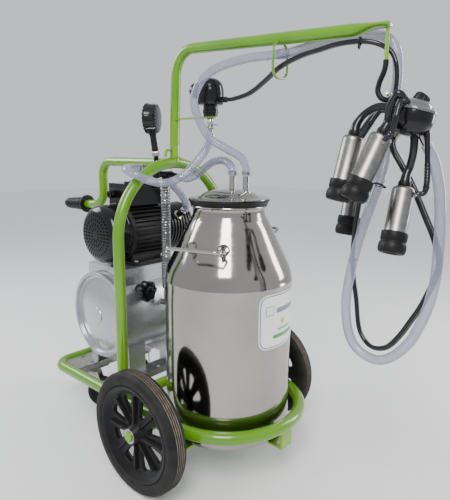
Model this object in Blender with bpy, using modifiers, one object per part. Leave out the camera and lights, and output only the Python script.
"""Mobile milking machine: a two-wheeled cart with a milk can, a motor-driven vacuum pump on a
vacuum tank, a swivelling hose mast with a pulsator, and a hanging cluster of four teat cups.

Metres, +Z up, the can end towards -Y, left side towards -X. All places are given from the can's
axis on the floor, and the cart empty moves the whole machine so that its box is centred in Y.
"""
import math

import bmesh
import bpy
from mathutils import Matrix, Vector

# ---------------------------------------------------------------- driving dimensions
CAN_Y = -0.1332             # where the can's axis stands in the finished frame
GAP = 0.0003                # clearance between touching pieces
RUN = 0.0006                # radial clearance of a turning fit

# welded frame
FRAME_R = 0.0155            # base loop tube
ARCH_R = 0.0145
BASE_Z = 0.155              # height of the base loop's centre line
BASE_HALF = 0.191           # half width of the loop, and radius of its round front
BASE_REAR = 0.5465
CORNER_R = 0.045
ARCH_Y = 0.201
ARCH_SPRING = 0.587         # where the arch's half circle starts
DECK_TOP = 0.162
DECK_H = 0.020
SHEET = 0.003

# wheels and casters
WHEEL_R = 0.150
WHEEL_W = 0.046
TRACK_HALF = 0.2587
AXLE_Y = 0.0545
AXLE_R = 0.0125
CASTER_R = 0.050
CASTER_W = 0.026
CASTER_X = 0.105
CASTER_Y = 0.485
CASTER_TRAIL = 0.035
CASTER_TURN = math.radians(-53.0)   # which way the trailing wheel points, from +X

# milk can
CAN_R = 0.162
CAN_BASE = 0.102
CAN_WALL = 0.0016
CAN_TURN = math.radians(197.0)      # where the first bail handle sits
LUG_HALF = math.radians(19.0)
LUG_Z = 0.585
LUG_R = 0.1432
BAIL_R = 0.0042             # wire of the bail handles
LID_VACUUM = (0.008, -0.004)        # where the lid's two nipples stand
LID_MILK = (0.012, -0.044)

# power unit
UNIT_Y = 0.390
TANK_R = 0.128
TANK_Z = 0.334
TANK_HALF = 0.132
SADDLE_TOP = 0.478
MOTOR_Z = 0.572
MOTOR_R = 0.088
PUMP_R = 0.076
PUMP_NECK = Vector((0.128, 0.285, 0.640))
INLET_X = 0.004             # the tank's inlet elbow
INLET_Y = 0.2435
REGULATOR_X = -0.062
REGULATOR_Z = 0.4195

# mast and handle
MAST_R = 0.013
MAST_Y = 0.197
SOCKET_TOP = 0.8235
ARM_KNEE = Vector((0, 0.186, 1.0655))
ARM_TIP = Vector((0, -0.392, 1.035))
RING_Y = -0.145             # hose ring below the arm
HOOK_Y = -0.3865            # hook that the cluster hangs from
PULSATOR_Y = 0.064
HANDLE_R = 0.0135
GRIP_SLOPE = 0.0424         # how the handle bar falls towards its end

# hoses
MILK_HOSE_R = 0.010
PULSE_HOSE_R = 0.0075
VACUUM_HOSE_R = 0.0105
SPIRAL_HOSE_R = 0.0135

# teat cups: where the top of each shell is, and which way the cup hangs
CUPS = {
    "rear_left": (Vector((-0.035, -0.348, 0.838)), Vector((-0.21, 0.10, -0.97))),
    "front_left": (Vector((-0.056, -0.414, 0.839)), Vector((-0.31, 0.25, -0.92))),
    "front_right": (Vector((-0.015, -0.445, 0.745)), Vector((-0.30, 0.00, -0.95))),
    "rear_right": (Vector((0.068, -0.307, 0.756)), Vector((-0.19, 0.04, -0.98))),
}
CUP_R = 0.0205
CUP_LEN = 0.1162            # shell length
CLAW = Vector((-0.015, -0.452, 0.869))

# turns a flat outline's X and Y to the world's Y and Z, or X and Z
FACING_X = Matrix(((0, 0, 1), (1, 0, 0), (0, 1, 0))).to_quaternion()
FACING_Y = Matrix(((1, 0, 0), (0, 0, -1), (0, 1, 0))).to_quaternion()

GREEN = (0.33, 0.55, 0.02)
BLACK = (0.02, 0.02, 0.022)
STEEL = (0.62, 0.61, 0.58)
SILVER = (0.62, 0.64, 0.66)
CLEAR = (0.72, 0.74, 0.80)


# ---------------------------------------------------------------- tools
def clear_scene():
    for obj in list(bpy.data.objects):
        bpy.data.objects.remove(obj, do_unlink=True)


def new_collection(name):
    found = bpy.data.collections.new(name)
    bpy.context.scene.collection.children.link(found)
    return found


def finish(name, colour, rough, metal=0.0):
    mat = bpy.data.materials.new(name)
    mat.use_nodes = True
    shader = mat.node_tree.nodes["Principled BSDF"]
    shader.inputs["Base Color"].default_value = (*colour, 1.0)
    shader.inputs["Roughness"].default_value = rough
    shader.inputs["Metallic"].default_value = metal
    return mat


def empty(name, place, parent=None):
    obj = bpy.data.objects.new(name, None)
    obj.location = Vector(place) - (origin_of(parent) if parent else Vector())
    obj.parent = parent
    PARTS.objects.link(obj)
    return obj


def origin_of(obj):
    """World origin of an unrotated chain of empties."""
    total = Vector(obj.location)
    while obj.parent:
        obj = obj.parent
        total += obj.location
    return total


def add(name, data, look, place=(0, 0, 0), parent=None, turn=None):
    """Link an object at a place given from the can's axis, under the cart or a joint's empty."""
    obj = bpy.data.objects.new(name, data)
    holder = parent or CART
    obj.parent = holder
    obj.location = Vector(place) - (origin_of(holder) - origin_of(CART))
    if turn is not None:
        obj.rotation_mode = 'QUATERNION'
        obj.rotation_quaternion = turn
    if look is None:
        CUTTERS.objects.link(obj)
        obj.hide_render = True
        obj.display_type = 'WIRE'
    else:
        PARTS.objects.link(obj)
        data.materials.append(look(name))
    return obj


def mesh_of(bm, name):
    mesh = bpy.data.meshes.new(name)
    bm.to_mesh(mesh)
    bm.free()
    return mesh


def towards(direction):
    """Rotation that turns +Z to a direction."""
    return Vector(direction).to_track_quat('Z', 'Y')


def smooth(mesh, angle=40.0):
    mesh.shade_smooth()
    mesh.set_sharp_from_angle(angle=math.radians(angle))


def turned(name, profile, look, place=(0, 0, 0), axis=(0, 0, 1), parent=None, steps=32,
           closed=True):
    """A turned piece: (radius, height) points that run down the outer side, then back inside."""
    bm = bmesh.new()
    verts = [bm.verts.new((r, 0.0, z)) for r, z in profile]
    for a, b in zip(verts, verts[1:]):
        bm.edges.new((a, b))
    if closed:
        bm.edges.new((verts[-1], verts[0]))
    obj = add(name, mesh_of(bm, name), look, place, parent, towards(axis))
    screw = obj.modifiers.new("turn", 'SCREW')
    screw.steps = steps
    screw.render_steps = steps
    screw.use_merge_vertices = True
    screw.merge_threshold = 0.00001
    screw.use_smooth_shade = True
    return obj


def block(name, size, look, place, parent=None, bevel=0.0, turn=None):
    bm = bmesh.new()
    bmesh.ops.create_cube(bm, size=1.0)
    bmesh.ops.scale(bm, vec=Vector(size), verts=bm.verts)
    obj = add(name, mesh_of(bm, name), look, place, parent, turn)
    if bevel:
        edge = obj.modifiers.new("edges", 'BEVEL')
        edge.width = bevel
        edge.segments = 2
        edge.limit_method = 'ANGLE'
    return obj


def rod(name, radius, length, look, place, axis=(0, 0, 1), parent=None, sides=20):
    """A plain round bar, centred on its place."""
    bm = bmesh.new()
    bmesh.ops.create_cone(bm, cap_ends=True, segments=sides, radius1=radius, radius2=radius,
                          depth=length)
    obj = add(name, mesh_of(bm, name), look, place, parent, towards(axis))
    return obj


def slab(name, outline, thickness, look, place=(0, 0, 0), turn=None, parent=None):
    """A flat outline in its own XY plane, given a thickness."""
    curve = bpy.data.curves.new(name, 'CURVE')
    curve.dimensions = '2D'
    curve.fill_mode = 'BOTH'
    curve.extrude = thickness / 2
    line = curve.splines.new('POLY')
    line.points.add(len(outline) - 1)
    for point, (x, y) in zip(line.points, outline):
        point.co = (x, y, 0.0, 1.0)
    line.use_cyclic_u = True
    return add(name, curve, look, place, parent, turn)


def tube(name, points, radius, look, parent=None, sides=3, ring=False, origin=None):
    """A round tube along points; its origin is at a place on the joint's axis when it moves."""
    base = Vector(origin) if origin is not None else Vector()
    curve = bpy.data.curves.new(name, 'CURVE')
    curve.dimensions = '3D'
    curve.bevel_depth = radius
    curve.bevel_resolution = sides
    curve.use_fill_caps = True
    line = curve.splines.new('POLY')
    line.points.add(len(points) - 1)
    for point, co in zip(line.points, points):
        point.co = (*(Vector(co) - base), 1.0)
    line.use_cyclic_u = ring
    line.use_smooth = True
    return add(name, curve, look, base, parent)


def as_mesh(obj):
    """Turn a curve into a closed mesh object, so that it can be cut or joined."""
    bpy.context.view_layer.update()
    graph = bpy.context.evaluated_depsgraph_get()
    mesh = bpy.data.meshes.new_from_object(obj.evaluated_get(graph))
    bm = bmesh.new()
    bm.from_mesh(mesh)
    bmesh.ops.remove_doubles(bm, verts=bm.verts, dist=0.00005)
    bmesh.ops.recalc_face_normals(bm, faces=bm.faces)
    bm.to_mesh(mesh)
    bm.free()
    name = obj.name
    twin = bpy.data.objects.new(name + "_mesh", mesh)
    for group in list(obj.users_collection):
        group.objects.link(twin)
    twin.parent = obj.parent
    twin.matrix_world = obj.matrix_world.copy()
    twin.hide_render = obj.hide_render
    twin.display_type = obj.display_type
    bpy.data.objects.remove(obj, do_unlink=True)
    twin.name = name
    return twin


def combine(obj, tool, operation):
    if tool.type == 'CURVE':
        tool = as_mesh(tool)
    step = obj.modifiers.new(operation.lower(), 'BOOLEAN')
    step.operation = operation
    step.solver = 'EXACT'
    step.object = tool
    return tool


def join(obj, *tools):
    for tool in tools:
        combine(obj, tool, 'UNION')


def cut(obj, *tools):
    for tool in tools:
        combine(obj, tool, 'DIFFERENCE')


def arc(centre, radius, start, end, count, plane="XY"):
    """Points on an arc, angles in degrees, in a plane named by its two axes."""
    out = []
    for i in range(count):
        a = math.radians(start + (end - start) * i / (count - 1))
        step = {"X": 0.0, "Y": 0.0, "Z": 0.0}
        step[plane[0]] = radius * math.cos(a)
        step[plane[1]] = radius * math.sin(a)
        out.append(Vector(centre) + Vector((step["X"], step["Y"], step["Z"])))
    return out


def bent(corners, radius, count=6):
    """A tube's path through corner points, each corner bent to a radius."""
    corners = [Vector(c) for c in corners]
    path = [corners[0]]
    for before, corner, after in zip(corners, corners[1:], corners[2:]):
        a = (before - corner).normalized()
        b = (after - corner).normalized()
        half = a.angle(b) / 2
        reach = radius / math.tan(half)
        middle = corner + (a + b).normalized() * (radius / math.sin(half))
        start = (corner + a * reach - middle).normalized()
        end = (corner + b * reach - middle).normalized()
        for i in range(count + 1):
            path.append(middle + start.slerp(end, i / count) * radius)
    path.append(corners[-1])
    return path


def flowing(route, spacing):
    """Points a spacing apart on a smooth curve through the route's own points.

    A short straight bit at each end leaves the tube's end face square to its route.
    """
    pts = [Vector(p) for p in route]
    ends = [pts[0] * 2 - pts[1], *pts, pts[-1] * 2 - pts[-2]]
    fine = []
    for p0, p1, p2, p3 in zip(ends, ends[1:], ends[2:], ends[3:]):
        for i in range(16):
            t = i / 16
            fine.append(0.5 * ((2 * p1) + (p2 - p0) * t + (2 * p0 - 5 * p1 + 4 * p2 - p3) * t * t
                               + (3 * p1 - p0 - 3 * p2 + p3) * t ** 3))
    fine.append(pts[-1])
    total = sum((b - a).length for a, b in zip(fine, fine[1:]))
    count = max(2, round(total / spacing))
    out, run, target = [fine[0]], 0.0, total / count
    for a, b in zip(fine, fine[1:]):
        length = (b - a).length
        while run + length >= target * len(out) and len(out) < count:
            out.append(a.lerp(b, (target * len(out) - run) / length))
        run += length
    out.append(fine[-1])
    first, last = fine[1] - fine[0], fine[-2] - fine[-1]
    out.insert(1, out[0] + first.normalized() * spacing * 0.12)
    out.insert(-1, out[-1] + last.normalized() * spacing * 0.12)
    return out


# ---------------------------------------------------------------- finishes
def looks():
    """One finish function for each kind of surface; each part gets a material of its own."""
    table = {
        "green": (GREEN, 0.35, 0.0), "black": (BLACK, 0.45, 0.0), "rubber": (BLACK, 0.8, 0.0),
        "steel": (STEEL, 0.18, 1.0), "zinc": (STEEL, 0.45, 1.0), "silver": (SILVER, 0.4, 0.3),
        "clear": (CLEAR, 0.2, 0.0),
    }
    made = {}
    for key, (colour, rough, metal) in table.items():
        made[key] = lambda name, c=colour, r=rough, m=metal: finish(name + "_finish", c, r, m)
    return made


# ---------------------------------------------------------------- welded frame
def base_path():
    front = arc((0, 0, BASE_Z), BASE_HALF, 180, 360, 19)
    rear_right = arc((BASE_HALF - CORNER_R, BASE_REAR - CORNER_R, BASE_Z), CORNER_R, 0, 90, 4)
    rear_left = arc((-BASE_HALF + CORNER_R, BASE_REAR - CORNER_R, BASE_Z), CORNER_R, 90, 180, 4)
    return front + rear_right + rear_left


def base_cutter(name):
    return as_mesh(tube(name, base_path(), FRAME_R + GAP, None, ring=True))


def make_base(look):
    loop = as_mesh(tube("base_loop", base_path(), FRAME_R, look["green"], ring=True))
    for side in (-1, 1):
        inner = BASE_HALF
        outer = TRACK_HALF + WHEEL_W / 2 + 0.010
        stub = rod(f"stub_axle_{side}", AXLE_R, outer - inner, None,
                   (side * (inner + outer) / 2, AXLE_Y, WHEEL_R), (1, 0, 0), sides=24)
        join(loop, stub)
    smooth(loop.data)
    cross = as_mesh(tube("cross_tube", [(-BASE_HALF, ARCH_Y, BASE_Z), (BASE_HALF, ARCH_Y, BASE_Z)],
                         ARCH_R, look["green"]))
    cut(cross, base_cutter("cross_saddle"))
    cut(cross, as_mesh(tube("cross_arch_saddle", arch_path(), ARCH_R + GAP, None)))
    smooth(cross.data)


def arch_path():
    leg = BASE_Z + 0.005
    return [Vector((-BASE_HALF, ARCH_Y, leg)),
            *arc((0, ARCH_Y, ARCH_SPRING), BASE_HALF, 180, 0, 19, "XZ"),
            Vector((BASE_HALF, ARCH_Y, leg))]


def make_arch(look):
    arch = as_mesh(tube("arch", arch_path(), ARCH_R, look["green"]))
    cut(arch, base_cutter("arch_saddle"))
    smooth(arch.data)
    apex = ARCH_SPRING + BASE_HALF
    wall = MAST_R - 0.0025
    socket = turned("mast_socket", [(MAST_R, SOCKET_TOP - GAP), (MAST_R, apex + 0.004),
                                    (wall, apex + 0.004), (wall, SOCKET_TOP - GAP)],
                    look["green"], (0, MAST_Y, 0), steps=24)
    cut(socket, as_mesh(tube("arch_crown", arch_path(), ARCH_R + GAP, None)))
    lever = as_mesh(tube("lever_rod", bent([(-MAST_R + 0.001, MAST_Y, 0.812),
                                            (-0.030, MAST_Y, 0.812),
                                            (-0.034, MAST_Y, 0.794)], 0.006, 4),
                         0.0035, None, sides=2))
    join(socket, lever)


def channel(name, y_low, y_high, look, holes):
    """A perforated sheet channel across the base, open side down."""
    half = BASE_HALF - FRAME_R - 0.0010
    wide = y_high - y_low
    mid = (y_low + y_high) / 2
    outline = [(-wide / 2, -DECK_H), (-wide / 2, 0), (wide / 2, 0), (wide / 2, -DECK_H),
               (wide / 2 - SHEET, -DECK_H), (wide / 2 - SHEET, -SHEET),
               (-wide / 2 + SHEET, -SHEET), (-wide / 2 + SHEET, -DECK_H)]
    deck = as_mesh(slab(name, outline, 2 * half, look, (0, mid, DECK_TOP), FACING_X))
    for row in (-1, 1):
        for i in range(holes):
            x = -half + 2 * half * (i + 0.5) / holes
            cut(deck, rod(f"{name}_hole_{row}_{i}", 0.0055, 0.02, None,
                          (x, mid + row * (wide / 2 - 0.013), DECK_TOP), sides=8))
    cut(deck, base_cutter(f"{name}_saddle"))
    return deck


def make_decks(look):
    channel("front_deck", 0.272, 0.322, look["zinc"], 3)
    rear = channel("rear_deck", 0.445, 0.525, look["zinc"], 3)
    for name, side in (("caster_left", -1), ("caster_right", 1)):
        make_caster(name, side, rear, look)


def strap_outline(reach_low, reach_high, top, bottom, thick):
    """A shallow U: up at both ends, flat below."""
    return [(reach_low, top), (reach_low, bottom), (reach_high, bottom), (reach_high, top),
            (reach_high - thick, top), (reach_high - thick, bottom + thick),
            (reach_low + thick, bottom + thick), (reach_low + thick, top)]


def make_can_rests(look):
    """Two flat straps, crossed under the can, that hang from the base loop and carry it."""
    thick = 0.005
    top = BASE_Z
    upper = CAN_BASE - GAP - thick
    long_strap = as_mesh(slab("can_rest_long",
                              strap_outline(-BASE_HALF - 0.0045, ARCH_Y + 0.003, top, upper, thick),
                              0.040, look["green"], (0, 0, 0), FACING_X))
    cut(long_strap, base_cutter("strap_saddle_long"))
    cut(long_strap, as_mesh(tube("cross_saddle_strap", [(-0.1, ARCH_Y, BASE_Z),
                                                        (0.1, ARCH_Y, BASE_Z)],
                                 ARCH_R + GAP, None)))
    lower = upper - thick - GAP
    cross_strap = as_mesh(slab("can_rest_cross",
                               strap_outline(-BASE_HALF - 0.0025, BASE_HALF + 0.0025, top, lower,
                                             thick), 0.040, look["green"], (0, 0, 0), FACING_Y))
    cut(cross_strap, base_cutter("strap_saddle_cross"))


def make_handle(look):
    z = ARCH_SPRING + BASE_HALF - 0.001
    drop_y = 0.535
    low = 0.640
    path = bent([(0, ARCH_Y + 0.0105, z), (0, drop_y, z), (0, drop_y, low),
                 (0, 0.700, low - GRIP_SLOPE * (0.700 - drop_y))], 0.045, 6)
    handle = as_mesh(tube("handle_tube", path, HANDLE_R, look["green"]))
    cut(handle, as_mesh(tube("handle_saddle", arch_path(), ARCH_R + GAP, None)))
    smooth(handle.data)
    bore = HANDLE_R + 2 * GAP
    grip = [(0.0, 0.127), (0.011, 0.126), (0.0165, 0.118), (0.0195, 0.090), (0.0215, 0.040),
            (0.0215, 0.008), (0.029, 0.005), (0.029, 0.0), (bore, 0.0), (bore, 0.0722),
            (0.0, 0.0722)]
    start_y = 0.6285
    turned("handle_grip", grip, look["rubber"], (0, start_y, low - GRIP_SLOPE * (start_y - drop_y)),
           (0, 1, -GRIP_SLOPE), steps=20, closed=False)


# ---------------------------------------------------------------- wheels and casters
def make_wheel(name, side, look):
    """A dished plastic rim with eight windows, and a solid rubber tyre around it."""
    centre = (side * TRACK_HALF, AXLE_Y, WHEEL_R)
    pivot = empty(f"{name}_axis", origin_of(CART) + Vector(centre), CART)
    half = WHEEL_W / 2
    bore = AXLE_R + RUN
    rim_r = 0.1120
    rim = [(bore, half + 0.004), (0.021, half + 0.004), (0.030, 0.006), (0.092, 0.006),
           (0.100, half - 0.002), (rim_r, half - 0.003), (rim_r, -half + 0.003),
           (0.100, -half + 0.002), (0.092, -0.004), (0.030, -0.004), (0.021, -half - 0.004),
           (bore, -half - 0.004)]
    wheel_rim = turned(f"{name}_rim", rim, look["black"], centre, (side, 0, 0), pivot, 28)
    count = 8
    for i in range(count):
        a = math.tau * (i + 0.5) / count
        y, z = math.cos(a) * 0.063, math.sin(a) * 0.063
        window = [(-0.0075, -0.024), (0.0075, -0.024), (0.016, 0.014), (0.011, 0.022),
                  (-0.011, 0.022), (-0.016, 0.014)]
        radial = Vector((0, math.cos(a), math.sin(a)))
        across = radial.cross(Vector((1, 0, 0)))
        turn = Matrix((across, radial, (1, 0, 0))).transposed().to_quaternion()
        cut(wheel_rim, as_mesh(slab(f"{name}_window_{i}", window, 0.06, None,
                                    Vector(centre) + Vector((0, y, z)), turn)))
    tyre_in = rim_r + GAP
    tyre = [(tyre_in, half - 0.003), (0.120, half), (0.142, half - 0.001), (WHEEL_R, half - 0.012),
            (WHEEL_R, -half + 0.012), (0.142, -half + 0.001), (0.120, -half),
            (tyre_in, -half + 0.003)]
    turned(f"{name}_tyre", tyre, look["rubber"], centre, (side, 0, 0), pivot, 28)


def make_caster(name, side, deck, look):
    """A swivel caster bolted under the rear deck: top plate, turning fork, wheel on its pin."""
    pin = Vector((side * CASTER_X, CASTER_Y, 0))
    turn_angle = CASTER_TURN if side < 0 else math.pi - CASTER_TURN
    trail = Vector((math.cos(turn_angle), math.sin(turn_angle), 0))
    plate_top = DECK_TOP - DECK_H + 0.0005
    join(deck, block(f"{name}_plate", (0.070, 0.086, SHEET), None,
                     pin + Vector((0, 0, plate_top - SHEET / 2))))
    join(deck, rod(f"{name}_race", 0.021, 0.010, None, pin + Vector((0, 0, plate_top - 0.007)),
                   sides=24))
    swivel = empty(f"{name}_swivel", origin_of(CART) + pin, CART)
    crown_top = plate_top - 0.012 - RUN
    crown_low = crown_top - 0.010
    fork = turned(f"{name}_fork", [(0.0, crown_top), (0.021, crown_top), (0.025, crown_low + 0.004),
                                   (0.025, crown_low), (0.0, crown_low)],
                  look["zinc"], pin, (0, 0, 1), swivel, 24, closed=False)
    across = trail.cross(Vector((0, 0, 1)))
    leg_turn = Matrix((trail, (0, 0, 1), across)).transposed().to_quaternion()
    outline = [(-0.022, crown_low + 0.003), (0.022, crown_low + 0.003),
               (CASTER_TRAIL + 0.009, CASTER_R + 0.004), (CASTER_TRAIL + 0.006, CASTER_R - 0.009),
               (CASTER_TRAIL - 0.006, CASTER_R - 0.009), (CASTER_TRAIL - 0.010, CASTER_R + 0.002)]
    for s in (-1, 1):
        place = pin + across * s * (CASTER_W / 2 + 0.0035)
        join(fork, as_mesh(slab(f"{name}_leg_{s}", outline, SHEET, None, place, leg_turn)))
    hub = pin + trail * CASTER_TRAIL + Vector((0, 0, CASTER_R))
    join(fork, rod(f"{name}_pin", 0.004, CASTER_W + 0.016, None, hub, across, sides=12))
    spin = empty(f"{name}_spin", origin_of(CART) + hub, swivel)
    half = CASTER_W / 2
    bore = 0.004 + GAP
    turned(f"{name}_wheel", [(bore, half + 0.0012), (0.012, half + 0.0012), (0.014, half - 0.003),
                             (0.036, half - 0.003), (0.040, half), (CASTER_R, half - 0.006),
                             (CASTER_R, -half + 0.006), (0.040, -half), (0.036, -half + 0.003),
                             (0.014, -half + 0.003), (0.012, -half - 0.0012),
                             (bore, -half - 0.0012)],
           look["rubber"], hub, across, spin, 18)


# ---------------------------------------------------------------- milk can
def can_wall():
    """Radius and height down the outside of the can."""
    return [(0.0955, 0.6800), (0.0965, 0.6780), (0.0955, 0.6755), (0.0905, 0.6740),
            (0.0895, 0.6620), (0.1000, 0.6420), (0.1520, 0.5330), (0.1600, 0.5130),
            (CAN_R, 0.4960), (CAN_R, CAN_BASE + 0.010), (CAN_R - 0.003, CAN_BASE + 0.002),
            (CAN_R - 0.006, CAN_BASE)]


def make_can(look):
    outer = [*can_wall(), (0.0, CAN_BASE)]
    inner = [(0.0, CAN_BASE + 0.002), (CAN_R - 0.007, CAN_BASE + 0.002),
             (CAN_R - CAN_WALL, CAN_BASE + 0.012), (CAN_R - CAN_WALL, 0.4960),
             (0.1520 - CAN_WALL, 0.5323), (0.1000 - CAN_WALL, 0.6413),
             (0.0895 - CAN_WALL, 0.6618), (0.0895 - CAN_WALL, 0.6800)]
    can = turned("can", inner + outer, look["steel"], steps=30, closed=False)
    for sign, bail in ((1, "can_handle_left"), (-1, "can_handle_right")):
        for k in (-1, 1):
            a = CAN_TURN + k * LUG_HALF + (0 if sign > 0 else math.pi)
            way = Vector((math.cos(a), math.sin(a), 0))
            join(can, rod(f"{bail}_lug_{k}", 0.0075, 0.029, None,
                          way * (LUG_R - 0.0065) + Vector((0, 0, LUG_Z)),
                          way, sides=14))
        angle = CAN_TURN + (0 if sign > 0 else math.pi)
        pivot, along, out, ends = bail_frame(angle)
        for k in (-1, 1):
            join(can, rod(f"{bail}_eye_{k}", 0.0078, 0.006, None, pivot + along * k * (ends + 0.0025),
                          along, sides=16))
            cut(can, rod(f"{bail}_eye_bore_{k}", BAIL_R + 0.0004, 0.014, None,
                         pivot + along * k * ends, along, sides=12))
        make_bail(bail, angle, look)
    turned("can_gasket", [(0.1000, 0.6942), (0.1005, 0.6920), (0.0965, 0.6850), (0.0945, 0.6803),
                          (0.0800, 0.6803), (0.0800, 0.6942)], look["rubber"], steps=28)
    make_lid(look)


def bail_frame(angle):
    """Pivot point, hinge direction and outward direction of a bail handle."""
    out = Vector((math.cos(angle), math.sin(angle), 0))
    along = Vector((-math.sin(angle), math.cos(angle), 0))
    ends = LUG_R * math.sin(LUG_HALF)
    pivot = out * (LUG_R * math.cos(LUG_HALF) + 0.0135) + Vector((0, 0, LUG_Z))
    return pivot, along, out, ends


def make_bail(name, angle, look):
    """A wire bail that hangs out from the shoulder; its ends turn in the lugs' eyes."""
    pivot, along, out, ends = bail_frame(angle)
    reach = 0.050
    rise = Vector((0, 0, 0.012))
    half = ends + 0.006
    corners = [pivot + along * (ends - 0.003), pivot + along * (half + 0.012),
               pivot + along * (half + 0.012) + out * reach + rise,
               pivot - along * (half + 0.012) + out * reach + rise,
               pivot - along * (half + 0.012), pivot - along * (ends - 0.003)]
    axis = empty(f"{name}_axis", origin_of(CART) + pivot, CART)
    tube(name, bent(corners, 0.0115, 4), BAIL_R, look["steel"], axis, 2, origin=pivot)


def make_lid(look):
    brim = 0.6945
    dome = [(0.0, brim + 0.0235), (0.040, brim + 0.0205), (0.066, brim + 0.0125),
            (0.084, brim + 0.0030), (0.1012, brim + 0.0030), (0.1012, brim), (0.082, brim),
            (0.064, brim + 0.0095), (0.039, brim + 0.0175), (0.0, brim + 0.0205)]
    lid = turned("can_lid", dome, look["steel"], steps=26, closed=False)
    for name, (x, y), base in (("vacuum", LID_VACUUM, 0.712), ("milk", LID_MILK, 0.704)):
        nipple = turned(f"nipple_{name}", [(0.0080, 0.7500), (0.0080, base), (0.0050, base),
                                           (0.0050, 0.7500)], None, (x, y, 0), steps=16)
        join(lid, nipple)


# ---------------------------------------------------------------- power unit
def make_tank(look):
    """Vacuum tank, lying across the cart, with a threaded drain and an inlet elbow."""
    wall = 0.0025
    dish = 0.018
    outside = [(0.0, TANK_HALF + dish), (0.036, TANK_HALF + dish - 0.002), (0.112, TANK_HALF - 0.004),
               (0.118, TANK_HALF), (TANK_R, TANK_HALF), (TANK_R, TANK_HALF - 0.010)]
    inside = [(0.0, TANK_HALF + dish - wall), (0.108, TANK_HALF - 0.008),
              (TANK_R - wall, TANK_HALF - 0.014)]
    shell = outside + [(r, -x) for r, x in reversed(outside)]
    core = [(r, -x) for r, x in inside] + [(r, x) for r, x in reversed(inside)]
    tank = turned("vacuum_tank", shell, look["silver"], (0, UNIT_Y, TANK_Z), (1, 0, 0), steps=28,
                  closed=False)
    hollow = turned("tank_hollow", list(reversed(core)), None, (0, UNIT_Y, TANK_Z), (1, 0, 0),
                    steps=28, closed=False)
    cut(tank, hollow)
    cut(tank, rod("drain_hole", 0.0062, 0.03, None, (-0.020, UNIT_Y, TANK_Z - TANK_R), sides=16))
    elbow = bent([(INLET_X, UNIT_Y - 0.1195, 0.372), (INLET_X, INLET_Y, 0.372),
                  (INLET_X, INLET_Y, 0.418)], 0.014, 5)
    join(tank, as_mesh(tube("inlet_elbow", elbow, 0.0085, None)))
    cut(tank, rod("inlet_bore", 0.0060, 0.036, None, (INLET_X, INLET_Y, 0.402), sides=16))
    plug = [(0.0, 0.012), (0.0058, 0.012), (0.0058, -0.0006), (0.0085, -0.0006), (0.0085, -0.010),
            (0.0, -0.010)]
    turned("drain_plug", plug, look["black"], (-0.020, UNIT_Y, TANK_Z - TANK_R), steps=12,
           closed=False)


def tank_cutter(name, extra):
    return rod(name, TANK_R + extra, 0.5, None, (0, UNIT_Y, TANK_Z), (1, 0, 0), sides=56)


def make_feet(look):
    """Two folded feet between the decks and the tank, hollow below the cradle."""
    wide = 0.060
    depth = 0.196
    for name, x in (("tank_foot_left", -0.072), ("tank_foot_right", 0.072)):
        low, high = DECK_TOP + GAP, 0.262
        foot = block(name, (wide, depth, high - low), look["silver"],
                     (x, UNIT_Y, (low + high) / 2))
        cut(foot, block(f"{name}_hollow", (wide + 0.02, depth - 0.070, 0.030), None,
                        (x, UNIT_Y, low + 0.010)))
        cut(foot, block(f"{name}_fold", (wide - 0.006, depth - 0.006, 0.2), None,
                        (x, UNIT_Y, low + 0.1 + 0.003)))
        cut(foot, tank_cutter(f"{name}_cradle", GAP))


def make_saddle(look):
    """Folded motor platform, welded to the top of the tank and open below."""
    wide, depth = 0.210, 0.170
    low = 0.405
    saddle = block("motor_saddle", (wide, depth, SADDLE_TOP - low), look["silver"],
                   (0, UNIT_Y, (SADDLE_TOP + low) / 2))
    cut(saddle, block("saddle_hollow", (wide - 0.008, depth - 0.008, 0.2), None,
                      (0, UNIT_Y, SADDLE_TOP - 0.004 - 0.1)))
    cut(saddle, tank_cutter("saddle_cradle", GAP))


def make_regulator(look):
    """Vacuum regulator on the tank's front, with a lobed hand knob that turns."""
    front = UNIT_Y - 0.1002
    body = turned("regulator_body", [(0.0, 0.0), (0.014, 0.0), (0.014, 0.018), (0.022, 0.020),
                                     (0.022, 0.026), (0.0, 0.026)][::-1], look["black"],
                  (REGULATOR_X, front, REGULATOR_Z), (0, -1, 0), steps=24, closed=False)
    cut(body, tank_cutter("regulator_seat", GAP))
    face_y = front - 0.026 - GAP
    lobes = 7
    outline = []
    for i in range(lobes * 6):
        a = math.tau * i / (lobes * 6)
        r = 0.0285 + 0.0035 * math.cos(lobes * a)
        outline.append((r * math.cos(a), r * math.sin(a)))
    pivot = empty("regulator_axis", origin_of(CART) + Vector((REGULATOR_X, face_y, REGULATOR_Z)),
                  CART)
    depth = 0.024
    slab("regulator_knob", outline, depth, look["black"],
         (REGULATOR_X, face_y - depth / 2, REGULATOR_Z), FACING_Y, pivot)


def make_motor(look):
    """Finned motor on its foot, fan cover at the left, terminal box on top."""
    centre = Vector((0, UNIT_Y, MOTOR_Z))
    x_low, x_high = -0.062, 0.078
    fins = 24
    outline = []
    for i in range(fins):
        a = math.tau * i / fins
        for r, step in ((MOTOR_R - 0.009, 0.18), (MOTOR_R, 0.26), (MOTOR_R, 0.46),
                        (MOTOR_R - 0.009, 0.54)):
            b = a + math.tau / fins * step
            outline.append((r * math.cos(b), r * math.sin(b)))
    body = as_mesh(slab("motor_body", outline, x_high - x_low, look["black"],
                        centre + Vector(((x_low + x_high) / 2, 0, 0)), FACING_X))
    cut(body, rod("stator_bore", 0.066, 0.3, None, centre, (1, 0, 0), sides=32))
    foot_low = SADDLE_TOP + GAP
    join(body, block("motor_foot", (0.120, 0.150, 0.011), None,
                     (0.008, UNIT_Y, foot_low + 0.0055)))
    for side in (-1, 1):
        join(body, block(f"foot_web_{side}", (0.110, 0.016, 0.036), None,
                         (0.008, UNIT_Y + side * 0.048, foot_low + 0.026)))
    make_fan_cover(centre, x_low, look)
    make_shaft(centre, look)
    make_terminal_box(look)


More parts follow.
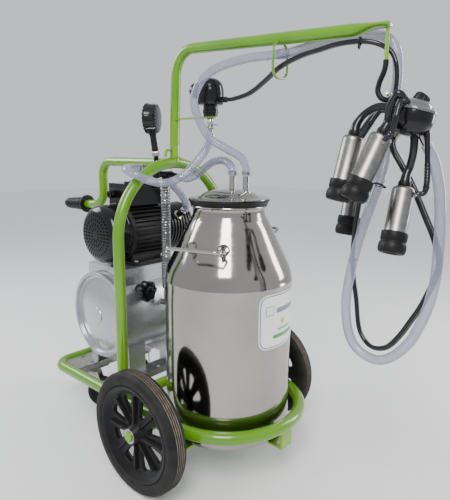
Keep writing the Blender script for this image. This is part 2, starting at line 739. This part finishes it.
def make_fan_cover(centre, x_low, look):
    """Thin cowl over the fan, open to the fins, with rings of air slots in its end."""
    length = 0.072
    r = 0.084
    wall = 0.0022
    cowl = [(0.0, length), (0.066, length - 0.002), (r, length - 0.018), (r, 0.0),
            (r - wall, 0.0), (r - wall, length - 0.018), (0.065, length - 0.002 - wall),
            (0.0, length - wall)]
    cover = turned("fan_cover", cowl, look["black"], centre + Vector((x_low - GAP, 0, 0)),
                   (-1, 0, 0), steps=24, closed=False)
    for ring, count in ((0.020, 3), (0.045, 6)):
        for i in range(count):
            a = math.tau * (i + 0.5) / count
            spot = centre + Vector((x_low - length, math.cos(a) * ring, math.sin(a) * ring))
            cut(cover, rod(f"air_slot_{ring}_{i}", 0.0085 if ring < 0.03 else 0.0105, 0.03, None,
                           spot, (1, 0, 0), sides=6))


def make_shaft(centre, look):
    """Fan, motor shaft, rotor and pump rotor, which turn as one."""
    pivot = empty("shaft_axis", origin_of(CART) + centre, CART)
    profile = [(0.0, 0.168), (0.040, 0.168), (0.040, 0.104), (0.009, 0.104), (0.009, 0.060),
               (0.060, 0.060), (0.060, -0.050), (0.009, -0.050), (0.009, -0.076),
               (0.064, -0.078), (0.064, -0.112), (0.020, -0.120), (0.0, -0.120)]
    turned("drive_shaft", profile, look["zinc"], centre, (1, 0, 0), pivot, 20, closed=False)


def make_terminal_box(look):
    low = MOTOR_Z + MOTOR_R - 0.006
    high = 0.716
    box = block("terminal_box", (0.116, 0.098, high - low), look["black"],
                (0.004, UNIT_Y - 0.010, (low + high) / 2))
    cut(box, rod("box_seat", MOTOR_R + GAP, 0.3, None, (0, UNIT_Y, MOTOR_Z), (1, 0, 0), sides=48))
    cut(box, block("switch_well", (0.0306, 0.0226, 0.010), None, (-0.018, UNIT_Y - 0.018, high)))
    gland = [(0.0105, 0.0), (0.0105, -0.022), (0.0045, -0.022), (0.0045, 0.0)]
    join(box, turned("cable_gland", gland, None, (-0.052, UNIT_Y + 0.012, 0.684), (1, 0, 0),
                     steps=14))
    pivot_place = Vector((-0.018, UNIT_Y - 0.018, high + 0.001))
    pivot = empty("switch_axis", origin_of(CART) + pivot_place, CART)
    half = 0.0148
    outline = [(-half, -0.0010), (0.0, -0.0036), (half, 0.0010), (half, 0.0085), (0.0, 0.0045),
               (-half, 0.0040)]
    slab("power_switch", outline, 0.0212, look["black"], pivot_place, FACING_Y, pivot)


def make_pump(look):
    """Rotary vane pump on the motor's right end: housing, end cover, inlet neck, silencer."""
    centre = Vector((0, UNIT_Y, MOTOR_Z))
    x0, x1 = 0.0783, 0.176
    bore = 0.0445
    housing = [(0.0, x1 + 0.015), (0.026, x1 + 0.015), (0.030, x1 + 0.010), (PUMP_R, x1 + 0.010),
               (PUMP_R, x1 + 0.001), (PUMP_R - 0.002, x1), (PUMP_R - 0.002, x0), (0.012, x0),
               (0.012, x0 + 0.012), (bore, x0 + 0.012), (bore, x1), (0.0, x1)]
    pump = turned("pump_housing", housing, look["black"], centre, (1, 0, 0), steps=24,
                  closed=False)
    way = PUMP_NECK - centre
    way.x = 0
    stem = turned("inlet_neck", [(0.0100, 0.108), (0.0100, 0.066), (0.0145, 0.0655),
                                 (0.0145, 0.060), (0.0060, 0.060), (0.0060, 0.108)], None,
                  centre + Vector((PUMP_NECK.x, 0, 0)), way, steps=16)
    join(pump, stem)
    turned("exhaust_silencer", [(0.0, 0.085), (0.018, 0.085), (0.024, 0.079), (0.024, 0.012),
                                (0.012, 0.008), (0.012, 0.0), (0.0, 0.0)], look["black"],
           centre + Vector((PUMP_NECK.x, PUMP_R + GAP + 0.001, 0.0)), (0, 1, 0), steps=20,
           closed=False)


# ---------------------------------------------------------------- manifold, gauge
MANIFOLD = Vector((-0.0265, 0.2435, 0.746))
GAUGE = Vector((-0.030, 0.252, 0.895))
GAUGE_FACE = Vector((-0.53, 0.85, 0.0))
# each neck: where it starts, which way it points, how long it is
NECKS = (
    ("pulsator", Vector((-0.028, 0.2435, 0.7640)), Vector((-1.0, 0.20, 0.0)), 0.034),
    ("lid", Vector((0.022, 0.2435, 0.7460)), Vector((0.50, -0.84, -0.22)), 0.028),
    ("pump", Vector((0.024, 0.2435, 0.7460)), Vector((0.50, 0.80, -0.33)), 0.034),
)


def make_manifold(look):
    """Vacuum manifold below the handle tube: an upright body, a cross pipe and four hose necks."""
    x, y, z = MANIFOLD
    body = turned("manifold", [(0.0, z + 0.032), (0.0095, z + 0.032), (0.0115, z + 0.030),
                               (0.0115, z - 0.008), (0.0, z - 0.012)], look["black"], (x, y, 0),
                  steps=20, closed=False)
    join(body, rod("cross_pipe", 0.0085, 0.060, None, (x + 0.027, y, z), (1, 0, 0), sides=12))
    join(body, rod("tank_neck", 0.0085, 0.040, None, (0.004, y, z - 0.020), sides=16))
    for name, start, way, length in NECKS:
        join(body, rod(f"neck_{name}", 0.0070, length, None,
                       start + way.normalized() * length / 2, way, sides=12))
    riser = [(x, y, z + 0.026), (x, y, z + 0.050), (GAUGE.x, GAUGE.y, GAUGE.z - 0.0460)]
    join(body, as_mesh(tube("gauge_riser", riser, 0.0062, None, sides=2)))


def make_gauge(look):
    """Vacuum gauge in a rubber boot, with a needle that sweeps its dial."""
    depth = 0.034
    r = 0.036
    back = GAUGE - GAUGE_FACE.normalized() * depth / 2
    case = [(0.0, depth - 0.010), (r - 0.005, depth - 0.010), (r - 0.004, depth), (r, depth),
            (r + 0.0015, depth - 0.004), (r, depth - 0.010), (r, 0.004), (r - 0.005, 0.0),
            (0.0, 0.0)]
    gauge = turned("gauge", case, look["black"], back, GAUGE_FACE, steps=24, closed=False)
    stub = rod("gauge_stub", 0.0095, 0.016, None, GAUGE - Vector((0, 0, r)), sides=14)
    join(gauge, stub)
    face = GAUGE_FACE.normalized()
    spot = back + face * (depth - 0.0075)
    pivot = empty("needle_axis", origin_of(CART) + spot, CART)
    outline = [(-0.0012, -0.006), (0.0012, -0.006), (0.0006, 0.024), (-0.0006, 0.024)]
    across = Vector((0, 0, 1)).cross(face)
    rest = math.radians(135)
    up = Vector((0, 0, 1)) * math.cos(rest) + across * math.sin(rest)
    side = up.cross(face)
    turn = Matrix((side, up, face)).transposed().to_quaternion()
    slab("gauge_needle", outline, 0.0012, look["green"], spot, turn, pivot)


# ---------------------------------------------------------------- mast and pulsator
def mast_path():
    """Mast centre line: up from the socket, bent over, along the arm to the tip."""
    foot = Vector((0, MAST_Y, SOCKET_TOP + GAP))
    return bent([foot, ARM_KNEE, ARM_TIP], 0.062, 7)


def arm_z(y):
    """Height of the arm's centre line."""
    share = (y - ARM_TIP.y) / (ARM_KNEE.y - ARM_TIP.y)
    return ARM_TIP.z + (ARM_KNEE.z - ARM_TIP.z) * share


def make_mast(look):
    path = mast_path()
    tip = path.pop()
    straight = path[-1]
    path += [straight.lerp(tip, t) for t in (0.55, 0.82, 0.87, 0.91, 0.95, 1.0)]
    pivot_place = Vector((0, MAST_Y, 0))
    mast = as_mesh(tube("mast", path, MAST_R, look["green"], MAST, 3, origin=pivot_place))
    flat_from = straight.lerp(tip, 0.86).y - pivot_place.y
    flat_full = straight.lerp(tip, 0.94).y - pivot_place.y
    for vert in mast.data.vertices:
        if vert.co.y < flat_from:
            share = min(1.0, (flat_from - vert.co.y) / (flat_from - flat_full))
            middle = arm_z(vert.co.y + pivot_place.y) + 0.004 * share
            vert.co.z = middle + (vert.co.z - middle + 0.004 * share) * (1 - 0.52 * share)
            vert.co.x *= 1 + 0.30 * share
    smooth(mast.data)
    join(mast, rod("spigot", MAST_R - 0.0025 - RUN, 0.030, None,
                   (0, MAST_Y, SOCKET_TOP - 0.011), parent=MAST, sides=20))
    top = arm_z(RING_Y) - 0.004
    loop = bent([(-0.004, RING_Y, top), (-0.026, RING_Y, top - 0.014), (-0.027, RING_Y, 0.966),
                 (0.027, RING_Y, 0.966), (0.026, RING_Y, top - 0.014), (0.004, RING_Y, top)],
                0.010, 4)
    join(mast, as_mesh(tube("hose_ring", loop, 0.0028, None, MAST, 2)))
    drop = [(0, HOOK_Y, arm_z(HOOK_Y) + 0.006), (0, HOOK_Y, 0.978)]
    join(mast, as_mesh(tube("hook_drop", drop, 0.0038, None, MAST, 2)))


def make_hook(look):
    """Rubber-coated J hook below the arm's tip that the cluster hangs from."""
    y = HOOK_Y
    route = [(0, y, 0.9772), (0, y, 0.9690), (0, y + 0.003, 0.955), (0, y + 0.010, 0.938),
             (0, y + 0.012, 0.922), (0, y + 0.004, 0.909), (0, y - 0.009, 0.905),
             (0, y - 0.020, 0.911), (0, y - 0.023, 0.922)]
    tube("cluster_hook", flowing(route, 0.009), 0.0052, look["rubber"], MAST, 2,
         origin=(0, MAST_Y, 0))


def make_pulsator(look):
    """Pneumatic pulsator on a flat bracket of the mast: dome, side lobe, block, two necks."""
    y = PULSATOR_Y
    bracket_z = 0.892
    arm_from = MAST_Y - 0.006
    outline = [(-0.010, arm_from), (0.010, arm_from)]
    outline += [(0.0135 * math.cos(math.radians(a)), y + 0.0135 * math.sin(math.radians(a)))
                for a in range(0, -181, -20)]
    bracket = as_mesh(slab("pulsator_bracket", list(reversed(outline)), 0.004, look["green"],
                           (0, 0, bracket_z), None, MAST))
    cut(bracket, rod("bracket_hole", 0.0090, 0.02, None, (0, y, bracket_z), parent=MAST, sides=16))
    cut(bracket, as_mesh(tube("bracket_saddle", mast_path()[:3], MAST_R + GAP, None, MAST)))
    top = bracket_z + 0.002 + GAP
    profile = [(0.0, 0.986), (0.014, 0.984), (0.026, 0.976), (0.0325, 0.962), (0.0330, 0.932),
               (0.0300, 0.922), (0.0180, 0.920), (0.0180, top), (0.0075, top), (0.0075, 0.856),
               (0.0, 0.856)]
    body = turned("pulsator", profile, look["black"], (0, y, 0), parent=MAST, steps=20,
                  closed=False)
    lobe = turned("lobe", [(0.0, 0.026), (0.013, 0.026), (0.019, 0.020), (0.019, 0.0),
                           (0.0, 0.0)], None, (0, y + 0.026, 0.958), (0, 1, 0.05), MAST, 20,
                  closed=False)
    join(body, lobe)
    join(body, rod("outlet_neck", 0.0070, 0.024, None, (0, y - 0.040, 0.937), (0, 1, -0.1), MAST,
                   14))


# ---------------------------------------------------------------- cluster
def make_cup(name, top, way, look):
    """Steel shell and one-piece rubber liner whose tail runs up to the claw."""
    up = -way.normalized()
    mouth = top - up * (CUP_LEN + 0.0103)
    length = CUP_LEN + 0.0103
    shell = [(0.0086, length), (0.0170, length), (CUP_R, length - 0.0055), (CUP_R, 0.0103),
             (CUP_R - 0.0014, 0.0103), (CUP_R - 0.0014, length - 0.0075),
             (0.0160, length - 0.0020), (0.0086, length - 0.0020)]
    turned(f"cup_{name}", shell, look["steel"], mouth, up, CLUSTER, 16)
    neck_top = length + 0.010
    liner = [(0.0112, neck_top), (0.0112, length + GAP), (0.0080, length + GAP),
             (0.0080, length - 0.004), (0.0130, length - 0.014), (0.0130, 0.0100),
             (CUP_R + GAP, 0.0100), (CUP_R + GAP, 0.040), (0.0248, 0.042), (0.0256, 0.004),
             (0.0245, 0.0), (0.0108, 0.0), (0.0108, length - 0.020), (0.0040, length - 0.008),
             (0.0040, neck_top)]
    rubber = turned(f"liner_{name}", liner, look["rubber"], mouth, up, CLUSTER, 16)
    start = mouth + up * (neck_top - 0.006)
    route = [start, mouth + up * (neck_top + 0.014), *TAILS[name]]
    tail = as_mesh(tube(f"tail_{name}", flowing(route, 0.022), 0.0088, None, CLUSTER, 2))
    join(rubber, tail)


CLAW_INLETS = {
    "rear_left": Vector((-0.017, -0.4085, 0.8880)),
    "front_left": Vector((-0.049, -0.4480, 0.8990)),
    "front_right": Vector((-0.015, -0.4575, 0.8275)),
    "rear_right": Vector((0.0290, -0.4430, 0.8640)),
}
TAILS = {
    "rear_left": [Vector((-0.022, -0.362, 0.880)), Vector((-0.016, -0.384, 0.892)),
                  Vector((-0.0165, -0.4010, 0.8890))],
    "front_left": [Vector((-0.054, -0.424, 0.885)), Vector((-0.058, -0.438, 0.908)),
                   Vector((-0.0525, -0.4450, 0.9055))],
    "front_right": [Vector((-0.004, -0.449, 0.784)), Vector((-0.012, -0.456, 0.807)),
                    Vector((-0.0150, -0.4575, 0.8205))],
    "rear_right": [Vector((0.083, -0.325, 0.805)), Vector((0.083, -0.375, 0.842)),
                   Vector((0.066, -0.424, 0.8600)), Vector((0.0360, -0.4420, 0.8635))],
}


MILK_SPOUT = Vector((-0.003, -0.4740, 0.8240))
PULSE_SPOUT = Vector((0.0100, -0.4130, 0.8380))


def make_claw(look):
    """Claw bowl with four inlets, an outlet and the steel loop that it hangs by."""
    profile = [(0.0, 0.034), (0.012, 0.033), (0.024, 0.028), (0.033, 0.018), (0.0365, 0.006),
               (0.0365, -0.004), (0.0320, -0.018), (0.022, -0.029), (0.010, -0.033),
               (0.0, -0.033)]
    claw = turned("claw", profile, look["black"], CLAW, (0.10, -0.20, 0.97), CLUSTER, 18,
                  closed=False)
    for name, inlet in CLAW_INLETS.items():
        stem = [CLAW.lerp(inlet, 0.5), inlet]
        join(claw, as_mesh(tube(f"stem_{name}", stem, 0.0060, None, CLUSTER, 2)))
    for name, spout, radius in (("milk_spout", MILK_SPOUT, 0.0070),
                                ("pulse_spout", PULSE_SPOUT, 0.0055)):
        join(claw, as_mesh(tube(name, [CLAW.lerp(spout, 0.5), spout], radius, None, CLUSTER, 2)))
    join(claw, turned("claw_valve", [(0.0, 0.016), (0.012, 0.016), (0.014, 0.012), (0.014, 0.0),
                                     (0.0, 0.0)], None, CLAW + Vector((0.004, -0.006, 0.026)),
                      (0.35, -0.45, 0.80), CLUSTER, 18, closed=False))
    hanger = [CLAW + Vector((0.010, 0.016, 0.020)), (0.0060, -0.428, 0.9050),
              (0.0095, -0.412, 0.9165), (0.0085, -0.400, 0.9165), (0.0040, -0.3955, 0.9145),
              (-0.0040, -0.3955, 0.9145), (-0.0100, -0.397, 0.9165)]
    join(claw, as_mesh(tube("claw_hanger", flowing(hanger, 0.009), 0.0024, None, CLUSTER, 2)))


# ---------------------------------------------------------------- hoses
MILK_TO_RING = [
    (0.012, -0.044, 0.7510), (0.012, -0.044, 0.7720), (0.004, -0.032, 0.7960),
    (-0.016, -0.006, 0.8150), (-0.040, 0.028, 0.8400), (-0.055, 0.050, 0.8830),
    (-0.063, 0.058, 0.9220), (-0.062, 0.050, 0.9520), (-0.052, 0.030, 0.9820),
    (-0.036, -0.006, 1.0020), (-0.014, -0.062, 1.0150), (0.004, -0.108, 1.0180),
    (0.0085, -0.1320, 1.0183), (0.0100, -0.1447, 1.0185),
]
RING_TO_CLAW = [
    (0.0100, -0.1455, 1.0185), (0.0115, -0.1582, 1.0187), (0.018, -0.188, 1.0240),
    (0.027, -0.226, 1.0330),
    (0.030, -0.283, 1.0370), (0.032, -0.336, 1.0345), (0.032, -0.372, 1.0230),
    (0.032, -0.391, 0.9980), (0.034, -0.396, 0.9650), (0.037, -0.394, 0.9280),
    (0.043, -0.386, 0.8900), (0.046, -0.379, 0.8500), (0.036, -0.383, 0.7930),
    (0.012, -0.382, 0.7450), (-0.004, -0.371, 0.6860), (-0.008, -0.356, 0.6240),
    (-0.006, -0.342, 0.5580), (0.000, -0.333, 0.5010), (0.000, -0.339, 0.4460),
    (0.000, -0.355, 0.4100), (0.000, -0.384, 0.3910), (0.000, -0.417, 0.3900),
    (0.000, -0.447, 0.4100), (0.000, -0.474, 0.4450), (0.000, -0.491, 0.4840),
    (0.000, -0.504, 0.5270), (0.000, -0.511, 0.5760), (0.000, -0.512, 0.6330),
    (0.000, -0.510, 0.6880), (0.000, -0.504, 0.7420), (0.000, -0.491, 0.7900),
    (-0.0005, -0.4790, 0.8137), (-0.0028, -0.4744, 0.8231),
]
PULSE_ROUTE = [
    (0.000, 0.0105, 0.9316), (0.000, -0.012, 0.9315), (0.000, -0.060, 0.9410),
    (0.000, -0.104, 0.9640), (0.000, -0.145, 0.9900), (0.000, -0.196, 1.0060),
    (-0.004, -0.245, 1.0120), (-0.008, -0.290, 1.0165), (-0.005, -0.334, 1.0160),
    (0.004, -0.364, 1.0100), (0.0165, -0.386, 0.9960), (0.0165, -0.400, 0.9720),
    (0.0200, -0.402, 0.9400), (0.0225, -0.397, 0.9060), (0.025, -0.388, 0.8700),
    (0.026, -0.373, 0.8300), (0.020, -0.360, 0.7830), (0.012, -0.350, 0.7400),
    (0.012, -0.340, 0.6720), (0.014, -0.335, 0.6100), (0.016, -0.338, 0.5550),
    (0.017, -0.348, 0.5010), (0.014, -0.358, 0.4480), (0.010, -0.374, 0.4220),
    (0.004, -0.398, 0.4110), (0.007, -0.425, 0.4180), (0.014, -0.446, 0.4440),
    (0.020, -0.465, 0.4800), (0.022, -0.487, 0.5260), (0.021, -0.5090, 0.5980),
    (0.022, -0.4980, 0.6430), (0.024, -0.4740, 0.6910), (0.025, -0.446, 0.7450),
    (0.021, -0.424, 0.7830), (0.0190, -0.4050, 0.8140), (0.0155, -0.4042, 0.8310),
    (0.0104, -0.4122, 0.8374),
]
VACUUM_TO_PULSATOR = [
    (0.000, 0.064, 0.8550), (0.000, 0.065, 0.8380), (-0.012, 0.074, 0.8080),
    (-0.038, 0.086, 0.7740), (-0.066, 0.103, 0.7450), (-0.092, 0.132, 0.7300),
    (-0.122, 0.160, 0.7360), (-0.148, 0.188, 0.7530), (-0.147, 0.220, 0.7620),
    (-0.120, 0.246, 0.7650), (-0.086, 0.2553, 0.7640), (-0.0623, 0.2504, 0.7640),
]
VACUUM_TO_LID = [
    (0.008, -0.004, 0.7510), (0.008, -0.004, 0.7640), (0.011, 0.010, 0.7790),
    (0.020, 0.040, 0.7870), (0.034, 0.085, 0.7820), (0.045, 0.130, 0.7640),
    (0.050, 0.166, 0.7430), (0.046, 0.196, 0.7340), (0.0415, 0.2100, 0.7360),
    (0.0362, 0.2188, 0.7391),
]
SPIRAL_ROUTE = [(0.004, 0.2435, 0.7050), (0.004, 0.2425, 0.600), (0.004, 0.2430, 0.500),
                (0.004, 0.2435, 0.4190)]
PUMP_ROUTE = [
    (0.0420, 0.2714, 0.7341), (0.0500, 0.2800, 0.7280), (0.066, 0.2830, 0.7120),
    (0.092, 0.2820, 0.6900), (0.113, 0.2800, 0.6640), (0.1260, 0.2868, 0.6390),
    (0.128, 0.2983, 0.6314),
]


def make_hoses(look):
    runs = (("milk_hose_can", MILK_TO_RING, MILK_HOSE_R, "clear"),
            ("milk_hose_claw", RING_TO_CLAW, MILK_HOSE_R, "clear"),
            ("pulse_hose", PULSE_ROUTE, PULSE_HOSE_R, "rubber"),
            ("vacuum_hose_pulsator", VACUUM_TO_PULSATOR, VACUUM_HOSE_R, "clear"),
            ("vacuum_hose_lid", VACUUM_TO_LID, VACUUM_HOSE_R, "clear"),
            ("vacuum_hose_tank", SPIRAL_ROUTE, SPIRAL_HOSE_R, "clear"),
            ("vacuum_hose_pump", PUMP_ROUTE, VACUUM_HOSE_R, "clear"))
    for name, route, radius, kind in runs:
        tube(name, flowing(route, radius * 5.4), radius, look[kind], None, 2)


# ---------------------------------------------------------------- the machine
def build():
    look = looks()
    make_base(look)
    make_arch(look)
    make_decks(look)
    make_can_rests(look)
    make_handle(look)
    for name, side in (("wheel_left", -1), ("wheel_right", 1)):
        make_wheel(name, side, look)
    make_can(look)
    make_tank(look)
    make_feet(look)
    make_saddle(look)
    make_regulator(look)
    make_motor(look)
    make_pump(look)
    make_manifold(look)
    make_gauge(look)
    make_mast(look)
    make_hook(look)
    make_pulsator(look)
    for name, (top, way) in CUPS.items():
        make_cup(name, top, way, look)
    make_claw(look)
    make_hoses(look)


clear_scene()
PARTS = new_collection("milking_machine")
CUTTERS = new_collection("cutters")
CART = empty("cart", (0, CAN_Y, 0))
MAST = empty("mast_axis", (0, CAN_Y + MAST_Y, 0), CART)
CLUSTER = empty("cluster_axis", (0, CAN_Y + HOOK_Y - 0.009, 0.9102), MAST)
build()
